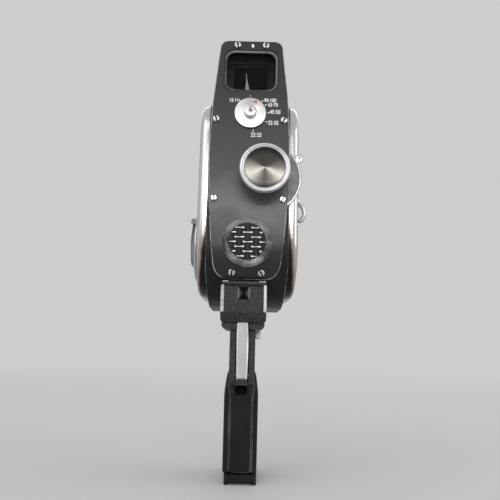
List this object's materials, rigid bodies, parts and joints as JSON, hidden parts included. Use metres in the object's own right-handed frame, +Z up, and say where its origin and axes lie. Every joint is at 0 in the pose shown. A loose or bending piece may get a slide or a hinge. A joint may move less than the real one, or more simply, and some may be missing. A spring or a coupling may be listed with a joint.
{
  "type": "spring-wound cine camera with pistol grip",
  "caption": "Vintage spring-wound film camera with a tall black front plate, offset capped lens, light cell, chrome-rimmed sides and a trigger grip.",
  "frame": {"origin": "on the underside of the grip's foot, on the camera's middle plane", "axes": "+Z up the grip to the viewfinder, -Y out through the lens, +X to the film-door side"},
  "size_m": [0.0753, 0.118, 0.2613],
  "materials": {
    "black_casting": "black enamel on cast aluminium",
    "plate_enamel": "satin black enamel on sheet aluminium",
    "lens_black": "black anodised",
    "chrome": "bright chrome",
    "leatherette": "grained leatherette",
    "aluminium": "satin turned",
    "trigger_metal": "satin",
    "spun_inlay": "spun, dark",
    "glass": "polished",
    "crinkle_paint": "black crinkle paint",
    "plastic": "moulded, satin",
    "steel": "machined",
    "brass": "machined",
    "spring_steel": "blued",
    "selenium": "coated",
    "needle_paint": "painted",
    "spool_paint": "painted"
  },
  "bodies": {
    "camera": {"body_frame": "black_casting", "front_plate": "plate_enamel", "plate_screw_1": "chrome", "plate_screw_2": "chrome", "plate_screw_3": "chrome", "plate_screw_4": "chrome", "plate_screw_5": "chrome", "plate_screw_6": "chrome", "plate_screw_7": "chrome", "plate_screw_8": "chrome", "mechanism_cover": "chrome", "mechanism_skin": "leatherette", "viewfinder_housing": "black_casting", "viewfinder_glass": "glass", "eyepiece_ring": "lens_black", "eyepiece_lens": "glass", "cell_bezel": "lens_black", "cell_grid": "plastic", "selenium_cell": "selenium", "meter_movement": "plastic", "lens_barrel": "lens_black", "lens_front_glass": "glass", "lens_rear_glass": "glass", "film_gate": "steel", "mechanism_plate": "steel", "grip_head": "crinkle_paint", "grip_frame": "crinkle_paint", "grip_panel_left": "plastic", "grip_panel_right": "plastic", "grip_foot": "plastic", "trigger_pin": "steel", "trigger_spring": "spring_steel"},
    "dial": {"film_speed_dial": "aluminium"},
    "needle": {"exposure_needle": "needle_paint"},
    "cap": {"lens_cap": "aluminium", "lens_cap_inlay": "spun_inlay"},
    "aperture": {"aperture_ring": "lens_black"},
    "shutter_rotor": {"shutter": "lens_black"},
    "claw": {"film_claw": "steel"},
    "presser": {"pressure_plate": "steel"},
    "barrel": {"spring_barrel": "brass", "mainspring": "spring_steel"},
    "drive": {"drive_gear": "brass"},
    "governor_rotor": {"governor": "steel"},
    "winder": {"winding_disc": "chrome", "winding_arbor": "steel"},
    "crank": {"crank_arm": "chrome"},
    "door": {"film_door": "chrome", "door_skin": "leatherette"},
    "lock": {"door_lock": "chrome"},
    "bail": {"lock_bail": "chrome"},
    "feed": {"feed_spool": "spool_paint"},
    "takeup": {"takeup_spool": "spool_paint"},
    "speed": {"speed_dial": "aluminium"},
    "release": {"release_button": "steel"},
    "trigger_lever": {"trigger": "trigger_metal"},
    "trigger_lock": {"lock_lever": "trigger_metal"},
    "bolt": {"grip_bolt": "steel"}
  },
  "joints": [
    {"name": "dial_turn", "type": "hinge", "parent": "camera", "child": "dial", "pos_m": [0, -0.04, 0.2142], "axis": [0, 1, 0], "range_deg": [-62, 147]},
    {"name": "needle_swing", "type": "hinge", "parent": "camera", "child": "needle", "pos_m": [-0.0022, -0.032, 0.207], "axis": [0, 1, 0], "range_deg": [-6, 6], "stiffness_Nm_per_rad": 0.002},
    {"name": "cap_pull", "type": "slide", "parent": "camera", "child": "cap", "axis": [0, -1, 0], "range_m": [0, 0.03]},
    {"name": "aperture_turn", "type": "hinge", "parent": "camera", "child": "aperture", "pos_m": [0.0088, -0.035, 0.176], "axis": [0, 1, 0], "range_deg": [-8, 71]},
    {"name": "barrel_spin", "type": "hinge", "parent": "camera", "child": "barrel", "pos_m": [-0.0124, 0.0034, 0.139], "axis": [1, 0, 0], "continuous": true},
    {"name": "drive_spin", "type": "hinge", "parent": "camera", "child": "drive", "pos_m": [-0.0094, 0.006, 0.1685], "axis": [1, 0, 0], "continuous": true},
    {"name": "governor_spin", "type": "hinge", "parent": "camera", "child": "governor_rotor", "pos_m": [-0.0094, 0.01936, 0.18186], "axis": [1, 0, 0], "continuous": true},
    {"name": "shutter_spin", "type": "hinge", "parent": "camera", "child": "shutter_rotor", "pos_m": [-0.0024, -0.0205, 0.1685], "axis": [0, 1, 0], "continuous": true},
    {"name": "claw_stroke", "type": "slide", "parent": "camera", "child": "claw", "axis": [0, 0, 1], "range_m": [-0.002, 0.002]},
    {"name": "presser_spring", "type": "slide", "parent": "camera", "child": "presser", "axis": [0, 1, 0], "range_m": [0, 0.0015], "stiffness_N_per_m": 250},
    {"name": "wind_turn", "type": "hinge", "parent": "camera", "child": "winder", "pos_m": [-0.0304, 0.0034, 0.139], "axis": [1, 0, 0], "continuous": true},
    {"name": "crank_fold", "type": "hinge", "parent": "winder", "child": "crank", "pos_m": [-0.0353, 0.0034, 0.1566], "axis": [0, 1, 0], "range_deg": [0, 165]},
    {"name": "door_pull", "type": "slide", "parent": "camera", "child": "door", "axis": [1, 0, 0], "range_m": [0, 0.04]},
    {"name": "lock_turn", "type": "hinge", "parent": "door", "child": "lock", "pos_m": [0.0304, 0.0034, 0.1649], "axis": [1, 0, 0], "range_deg": [0, 90]},
    {"name": "bail_fold", "type": "hinge", "parent": "lock", "child": "bail", "pos_m": [0.033, 0.0034, 0.1649], "axis": [0, 0, 1], "range_deg": [0, 85]},
    {"name": "feed_turn", "type": "hinge", "parent": "camera", "child": "feed", "pos_m": [0.0129, 0.0291, 0.1886], "axis": [1, 0, 0], "continuous": true},
    {"name": "takeup_turn", "type": "hinge", "parent": "camera", "child": "takeup", "pos_m": [0.0129, 0.0291, 0.1374], "axis": [1, 0, 0], "continuous": true},
    {"name": "speed_turn", "type": "hinge", "parent": "camera", "child": "speed", "pos_m": [-0.0304, 0.036, 0.19], "axis": [1, 0, 0], "range_deg": [-120, 120]},
    {"name": "trigger_pull", "type": "hinge", "parent": "camera", "child": "trigger_lever", "pos_m": [-0.0012, -0.023, 0.0615], "axis": [-1, 0, 0], "range_deg": [0, 5], "stiffness_Nm_per_rad": 1.5},
    {"name": "release_push", "type": "slide", "parent": "camera", "child": "release", "axis": [0, 1, 0], "range_m": [0, 0.0045]},
    {"name": "lock_lever_turn", "type": "hinge", "parent": "camera", "child": "trigger_lock", "pos_m": [0.00645, -0.019, 0.0844], "axis": [1, 0, 0], "range_deg": [-90, 0]},
    {"name": "bolt_turn", "type": "hinge", "parent": "camera", "child": "bolt", "pos_m": [-0.0012, 0.011, 0.0008], "axis": [0, 0, 1], "continuous": true}
  ],
  "couplings": [
    {"joint": "drive_spin", "follows": "barrel_spin", "ratio": -4},
    {"joint": "governor_spin", "follows": "barrel_spin", "ratio": 12},
    {"joint": "shutter_spin", "follows": "barrel_spin", "ratio": 12},
    {"joint": "release_push", "follows": "trigger_pull", "m_per_rad": 0.045}
  ]
}
